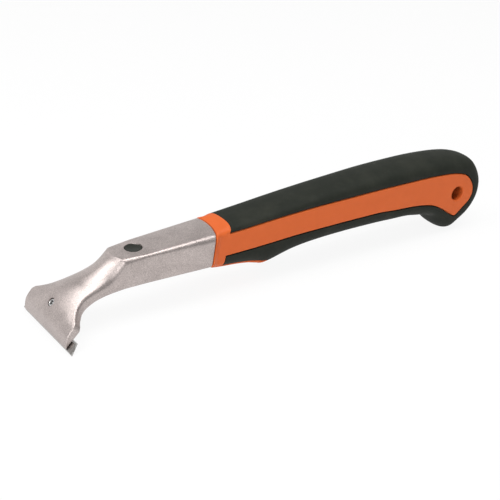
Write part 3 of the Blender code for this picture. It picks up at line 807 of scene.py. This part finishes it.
# Turns from a panel to the crest, close together next to the panel, where the edge is rounded
edge_turns = [0, 0.0004, 0.0012, 0.0025, 0.0045, 0.008, 0.013, 0.02, 0.035, 0.06, 0.1, 0.15]
quarter = math.pi / 2 - np.concatenate([edge_turns, np.linspace(0.22, math.pi / 2, 16)])
rubber_share = np.sin(np.concatenate([quarter, -quarter[-2::-1]]))
end_at = np.array([0, 0.01, 0.025, 0.05, 0.08, 0.12])
rubber_at = np.concatenate([end_at, np.linspace(0.2, PAD_END - 0.2, 254), PAD_END - end_at[::-1]])
rubber_edges, rubber_outline = handle_lines(rubber_at)
height = np.linalg.norm(rubber_outline - rubber_edges, axis=1)[:, None] * rounding(rubber_share)
steps = np.linalg.norm(np.diff(rubber_outline, axis=0), axis=1)
travelled = np.concatenate([[0], np.cumsum(steps)])
from_end = np.minimum(travelled, travelled[-1] - travelled)[:, None]
# Within the edge's radius of a rim the surface drops along a quarter circle
close = np.clip(np.minimum(height, from_end) / RUBBER_EDGE, 0, 1)
rubber_inset = RUBBER_EDGE * (1 - np.sqrt(1 - (1 - close) ** 2))
rubber_outer = arches(rubber_edges, rubber_outline, rubber_inset, rubber_share)
rubber_inner = arches(rubber_edges, rubber_outline, RUBBER, rubber_share)
rubber = skin("rubber_grip", np.concatenate([rubber_outer, rubber_inner[:, ::-1]], axis=1))

# A slot in the front of the rubber's underside leaves room for the keel
guard_edges, guard_outline = handle_lines(np.array([float(KEEL_START)]))
slot_rear = max(guard_edges[0, 0], guard_outline[0, 0]) + GAP - EDGE_TO_MIDDLE
slot_front = SHANK_END - EDGE_TO_MIDDLE
slot_top = guard_edges[0, 1]
slot_foot = -0.002
keel_slot = skin("keel_slot", np.array([
    [
        (slot_front, side, slot_foot),
        (slot_rear, side, slot_foot),
        (slot_rear, side, slot_top),
        (slot_front, side, slot_top),
    ]
    for side in (-KEEL_HALF - GAP, KEEL_HALF + GAP)
]))
cut(rubber, keel_slot)
soft = Finish("black_rubber", Metallic=0.0, Specular_IOR_Level=0.20)
matt = soft.noise(size=0.00035, detail=3, roughness=0.6)
haze = soft.noise(size=0.014, detail=3, roughness=0.55)
scuff = soft.noise(size=0.003, detail=3, roughness=0.6)
soft.on(
    rubber,
    Base_Color=soft.blend(
        haze.between(0.35, 0.75) * 0.6 + scuff.between(0.45, 0.8) * 0.25 + matt * 0.15,
        (0.011, 0.0135, 0.0095, 1),
        (0.024, 0.026, 0.019, 1),
    ),
    Roughness=0.58 + 0.2 * matt,
    Normal=soft.bump(matt, depth=0.00006, strength=0.5),
)
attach(rubber, "tool")
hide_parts("grip_rubber")

# The table is a wide sheet of white card that curves up into a backdrop. The camera and reflections
# see it almost as plain white, and the rest of its look is the card's own shading, which holds the
# tool's soft shadow.
SWEEP_SIDE = 2.5
SWEEP_START = 0.9
SWEEP_RADIUS = 0.45
SWEEP_TOP = 1.1
PLAIN_WHITE = 0.90
curve = np.linspace(0, math.pi / 2, 13)
sweep_line = np.vstack([
    (-SWEEP_SIDE, 0),
    np.column_stack([
        SWEEP_START + SWEEP_RADIUS * np.sin(curve), SWEEP_RADIUS * (1 - np.cos(curve))
    ]),
    (SWEEP_START + SWEEP_RADIUS, SWEEP_TOP),
])
sweep_points = np.stack([
    np.column_stack([np.full(len(sweep_line), side), sweep_line]) for side in (-SWEEP_SIDE, SWEEP_SIDE)
])
left = np.arange(len(sweep_line) - 1)
right = left + len(sweep_line)
board = piece("white_sweep", sweep_points, np.column_stack([left, right, right + 1, left + 1]).tolist())
card = Finish("white_card", Base_Color=(0.86, 0.86, 0.86, 1), Roughness=0.9)
rays = ("Is Camera Ray", "Is Glossy Ray", "Is Transmission Ray")
seen = sum(card.node("ShaderNodeLightPath", {}, {}, ray) for ray in rays)
glow = card.node("ShaderNodeEmission", {}, {})
plain = Wire(card, card.shader.outputs[0])
mixed = card.node("ShaderNodeMixShader", {}, {0: seen * PLAIN_WHITE, 1: plain, 2: glow})
card.set(card.tree.nodes["Material Output"], {"Surface": mixed})
board.data.materials.append(card.material)

# The room round the table is pale grey, and plain white where the camera looks past the card. One
# long soft lamp hangs over the tool, and a smaller one stands in front of it on the left.
ROOM_LEVEL = 0.34
world = bpy.data.worlds.new("studio")
room = Nodes(world)
looked_at = room.node("ShaderNodeLightPath", {}, {}, "Is Camera Ray")
level = room.node("ShaderNodeMapRange", {}, {"Value": looked_at, "To Min": ROOM_LEVEL})
room.set(room.tree.nodes["Background"], {"Color": (1, 1, 1, 1), "Strength": level})
bpy.context.scene.world = world


def softbox(name, place, tilt, swing, width, depth, watts):
    """A rectangular lamp, tilted up from facing straight down and swung about the upright, in degrees."""
    lamp = bpy.data.lights.new(name, "AREA")
    lamp.shape = "RECTANGLE"
    lamp.size = width
    lamp.size_y = depth
    lamp.energy = watts
    box = bpy.data.objects.new(name, lamp)
    box.location = place
    box.rotation_euler = (math.radians(tilt), 0, math.radians(swing))
    bpy.context.scene.collection.objects.link(box)


softbox("overhead_softbox", (-0.3, 0.03, 0.9), tilt=0, swing=-18, width=2.0, depth=0.42, watts=12.0)
softbox("side_softbox", (-1.0, -0.95, 0.5), tilt=71, swing=-46, width=1.0, depth=0.7, watts=8.0)

# The camera stands above and to the left of the blade's end, at the place and with the lens that the
# photograph's perspective gives.
view = bpy.data.cameras.new("photo_camera")
view.lens = 85.68
view.sensor_width = 36
view.clip_start = 0.01
camera = bpy.data.objects.new("photo_camera", view)
camera.location = (-0.348508, -0.455912, 0.301739)
camera.rotation_euler = [math.radians(angle) for angle in (62.97565, -2.91087, -34.37193)]
bpy.context.scene.collection.objects.link(camera)
bpy.context.scene.camera = camera
bpy.context.scene.view_settings.view_transform = "Standard"
